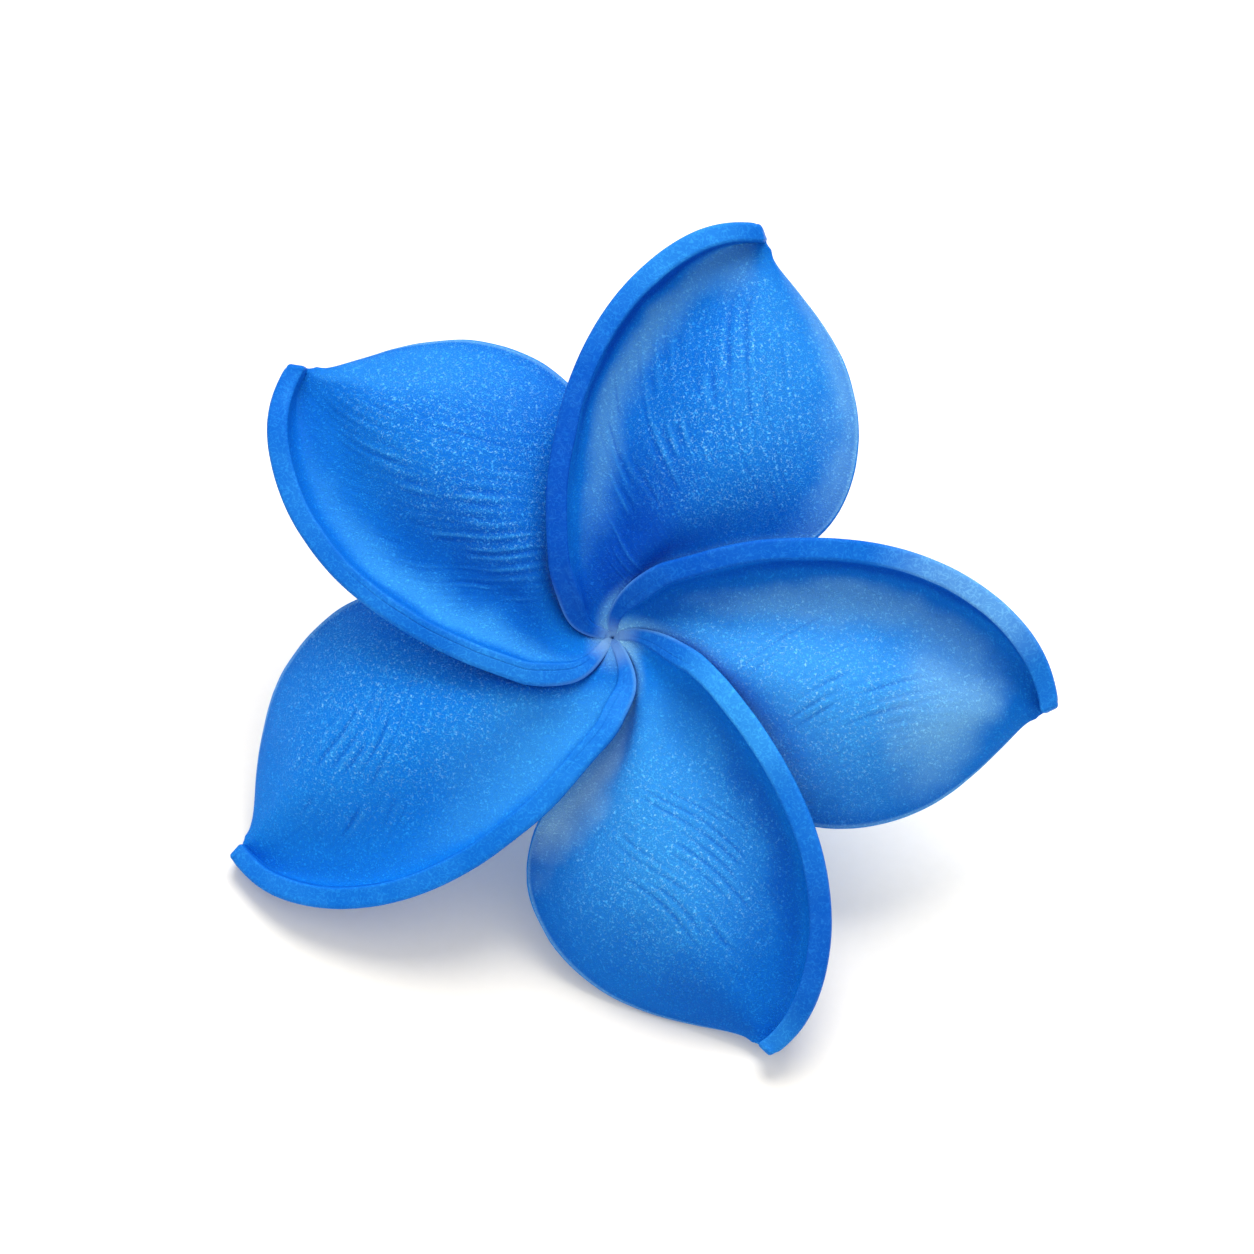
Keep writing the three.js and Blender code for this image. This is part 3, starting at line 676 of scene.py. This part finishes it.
def petal_face(name, look):
    """The satin skin of a petal: worm-like grain with painted sheen, soft patches of lighter and deeper blue
    that are painted light and painted shade, painted glints, and a pale root, partly its own tint and partly
    painted light.
    """
    n = Nodes(name)
    place = n.place()
    # the plan sways a little, so that no patch has a smooth outline
    sway = n.noise(place, 200.0, 2.0, output="Color")
    sway = n.vector("MULTIPLY_ADD", sway, (0.10, 0.14, 0), (-0.05, -0.07, 0))
    plan = n.vector("ADD", n.map("petal_plan"), sway)
    folds, from_free_edge = n.parts(n.map("petal_folds"))
    apart, radius = n.parts(n.map("petal_seam"))
    cloud = n.noise(place, 110.0, 3.0)
    grain = n.worms(place, FACE_GRAIN)
    fine = n.noise(place, FINE_GRAIN, 1.0, 0.6, 0.8)

    shade = n.mix(n.ramp(cloud, 0.3, 0.7), BLUE, BLUE_TOO)
    # patches of painted light and painted shade: lighter where light falls on the petal, deeper where its
    # shade falls
    for tint, at, reach, strength in look["lit_and_shaded_patches"]:
        share = n.times(n.spot(plan, at, reach), n.ramp(fine, 0.1, 0.7, 0.85, 1.0), strength)
        shade = n.mix(share, shade, tint)
    # painted shade in a band along the free edge, which curls away from the light
    shade = n.mix(n.times(n.ramp(from_free_edge, 0.07, 0.02), 0.20), shade, PAINTED_SHADE_BLUE)
    # painted highlight on the free edge's rounded border
    shade = n.mix(n.times(n.ramp(from_free_edge, 0.022, 0.008), 0.45), shade, PAINTED_PALE_LIGHT)
    # pale seam beside the covering rim: partly its own tint, partly painted light over the shade under the
    # rim
    width, length, strength = look["seam"]
    beside = n.ramp(apart, width / MAP_SPAN, 0.3 / MAP_SPAN)
    inside = n.ramp(radius, length / MAP_SPAN, 0.35 * length / MAP_SPAN)
    shade = n.mix(n.times(beside, inside, strength), shade, SEAM_TINT_AND_LIGHT)
    # grey-white middle, partly its own tint and partly painted light in the throat's shade
    shade = pale_root(n, shade, radius, 3.4, look["root"])
    # painted shade in the crease valleys and painted highlight on their ridges
    shade = n.mix(n.times(n.ramp(folds, 0.49, 0.26), 0.40), shade, PAINTED_SHADE_BLUE)
    shade = n.mix(n.times(n.ramp(folds, 0.52, 0.70), 0.40), shade, PAINTED_LIGHT_AND_SCUFF)
    # painted highlights: glints and sparks on the grain over the lit crown, stronger on the crease ridges
    at, reach, amount = look["glints"]
    crown = n.spot(plan, at, reach)
    sparks = n.ramp(n.noise(place, SPARK_GRAIN, 0.0), 0.46, 0.76)
    ridge = n.ramp(folds, 0.46, 0.60, 0.55, 1.0)
    shade = n.mix(n.times(grain, crown, ridge, 0.62), shade, GLINT)
    # painted sheen on the grain's ridges and painted shade between them
    shade = n.grain_sheen_and_shade(shade, grain)
    shade = n.mix(n.times(grain, crown, sparks, ridge, amount), shade, SPARK)
    return n.finish({
        "Base Color": shade,
        "Roughness": n.ramp(fine, 0.3, 0.7, 0.62, 0.48),
        "Normal": n.bump(grain, 0.8, 0.00006, n.bump(fine, 0.4, 0.00005)),
        "Specular IOR Level": PETAL_SHINE,
    })


def petal_edge(name, look):
    """The cut face along the border: scuffed, with hair-fine marks across it, painted light and shade along
    it, a painted highlight on the free edge, and pale beside the root, partly its own tint and partly
    painted light.
    """
    n = Nodes(name)
    place = n.place()
    plan = n.map("petal_plan")
    free = n.ramp(n.parts(plan)[1], 0.05, 0.01)
    across, radius = n.parts(n.map("petal_seam"))
    cloud = n.noise(place, 130.0, 2.0, 0.5)
    scuff = n.noise(place, 700.0, 3.0, 0.6)
    marks = n.noise(n.vector("MULTIPLY", plan, (260.0, 5.0, 1.0)), 1.0, 2.0)
    grain = n.worms(place, BORDER_GRAIN)
    fine = n.noise(place, FINE_GRAIN, 1.0, 0.6, 0.8)

    shade = n.mix(n.ramp(cloud, 0.35, 0.65), BORDER_BLUE, BORDER_BLUE_TOO)
    # painted light and shade along the border, lighter or deeper where its face turns to or from the lamp
    for tint, at, reach, strength in look["border_lit_and_shaded"]:
        share = n.times(n.spot(plan, (at, 0.5), (reach, 50)), n.ramp(scuff, 0.2, 0.7, 0.7, 1.0), strength)
        shade = n.mix(share, shade, tint)
    shade = n.mix(n.times(n.ramp(scuff, 0.45, 0.70), 0.12), shade, PAINTED_LIGHT_AND_SCUFF)
    # painted highlight on the free edge's border, where its rounding catches the light
    shade = n.mix(n.times(free, 0.5), shade, PAINTED_LIGHT_AND_SCUFF)
    shade = n.mix(n.times(n.ramp(marks, 0.60, 0.78), 0.14), shade, GLINT)
    # painted sheen on the grain's ridges and painted shade between them
    shade = n.grain_sheen_and_shade(shade, n.times(grain, 0.7))
    # near the root the border's outer rings take the seam's pale tint, partly painted light over the contact
    # shade
    outside = n.times(n.ramp(across, 0.62, 0.92), n.ramp(radius, 9 / MAP_SPAN, 3 / MAP_SPAN))
    shade = n.mix(n.times(outside, 0.5), shade, SEAM_TINT_AND_LIGHT)
    # grey-white middle, partly its own tint and partly painted light in the throat's shade
    shade = pale_root(n, shade, radius, 3.0, look["root"])
    return n.finish({
        "Base Color": shade,
        "Roughness": n.ramp(scuff, 0.3, 0.7, 0.60, 0.50),
        "Normal": n.bump(grain, 0.4, 0.00004, n.bump(fine, 0.3, 0.00004)),
        "Specular IOR Level": PETAL_SHINE,
    })


def plant_skin(name, light, dark, rough):
    """Skin of the tube, the calyx or the stalk: clouded, faintly pored."""
    n = Nodes(name)
    place = n.place()
    cloud = n.noise(place, 300.0, 4.0, 0.6)
    pores = n.noise(place, 3800.0, 2.0, 0.6, 0.4)
    shade = n.mix(n.ramp(cloud, 0.35, 0.65), light, dark)
    return n.finish({
        "Base Color": n.mix(n.times(n.ramp(pores, 0.6, 0.72), 0.4), shade, light),
        "Roughness": n.ramp(pores, 0.3, 0.7, rough + 0.08, rough - 0.08),
        "Normal": n.bump(pores, 0.4, 0.0001),
    })


def floor_paper():
    n = Nodes("floor_paper")
    tooth = n.noise(n.place(), 900.0, 3.0)
    return n.finish({
        "Base Color": n.mix(n.ramp(tooth, 0.3, 0.7), *FLOOR_SHADES),
        "Normal": n.bump(tooth, 0.1, 0.0001),
        "Roughness": 0.85,
        "Specular IOR Level": 0.2,
    })


def add_petals():
    for k, look in enumerate(LOOKS):
        verts, faces, maps, kinds = petal_mesh(k, look)
        materials = (petal_face(f"petal_face_{k + 1}", look), petal_edge(f"petal_edge_{k + 1}", look))
        piece = make_object(f"petal_{k + 1}_finished", verts, faces, materials, maps, kinds)
        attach(piece, "root")
        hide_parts(f"petal_{k + 1}")


def dress_tube_and_stalk():
    skins = {
        "corolla_tube": plant_skin("tube_skin", colour(120, 176, 236), colour(84, 150, 228), 0.5),
        "calyx": plant_skin("calyx_skin", colour(118, 148, 76), colour(92, 124, 60), 0.55),
        "pedicel": plant_skin("stalk_skin", colour(132, 160, 88), colour(104, 136, 68), 0.6),
    }
    for node, material in skins.items():
        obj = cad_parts[node]
        obj.data.materials.clear()
        obj.data.materials.append(material)


def put_up(obj, place, direction):
    """Adds a camera or a lamp to the scene, at a place and looking in a direction."""
    obj.location = place
    obj.rotation_mode = "QUATERNION"
    obj.rotation_quaternion = direction.to_track_quat("-Z", "Y")
    bpy.context.scene.collection.objects.link(obj)


def add_camera():
    elevation = math.radians(CAMERA_ELEVATION)
    back = Vector((0, -math.cos(elevation), math.sin(elevation)))
    right = Vector((1, 0, 0))
    up = back.cross(right)
    middle = Vector(laid(np.array([[0, 0, FLOWER_MIDDLE_Z]]))[0])
    half = IMAGE_SIZE / 2
    off_right = (half - FLOWER_MIDDLE_PIXEL[0]) / PIXELS_PER_MM * MM
    off_up = (FLOWER_MIDDLE_PIXEL[1] - half) / PIXELS_PER_MM * MM
    data = bpy.data.cameras.new("camera")
    data.sensor_width = SENSOR
    data.lens = PIXELS_PER_MM / MM * CAMERA_DISTANCE * SENSOR / IMAGE_SIZE
    data.clip_start, data.clip_end = CAMERA_CLIP
    camera = bpy.data.objects.new("camera", data)
    put_up(camera, middle + right * off_right + up * off_up + back * CAMERA_DISTANCE, -back)
    bpy.context.scene.camera = camera


def add_key_light():
    data = bpy.data.lights.new("key", "AREA")
    data.shape = "DISK"
    data.size = KEY_SIZE
    data.energy = KEY_POWER
    put_up(bpy.data.objects.new("key", data), KEY_PLACE, Vector(KEY_AIM) - Vector(KEY_PLACE))


def add_sky():
    world = bpy.data.worlds.new("studio")
    world.use_nodes = True
    background = world.node_tree.nodes["Background"]
    background.inputs["Color"].default_value = (1.0, 1.0, 1.0, 1.0)
    background.inputs["Strength"].default_value = SKY_STRENGTH
    bpy.context.scene.world = world


def add_floor():
    corners = FLOOR_HALF * np.array([(-1, -1, 0), (1, -1, 0), (1, 1, 0), (-1, 1, 0)], float)
    floor = make_object("floor", corners, np.array([[0, 1, 2, 3]]), (floor_paper(),))


bpy.context.scene.view_settings.view_transform = "Standard"
add_petals()
dress_tube_and_stalk()
add_camera()
add_sky()
add_key_light()
add_floor()
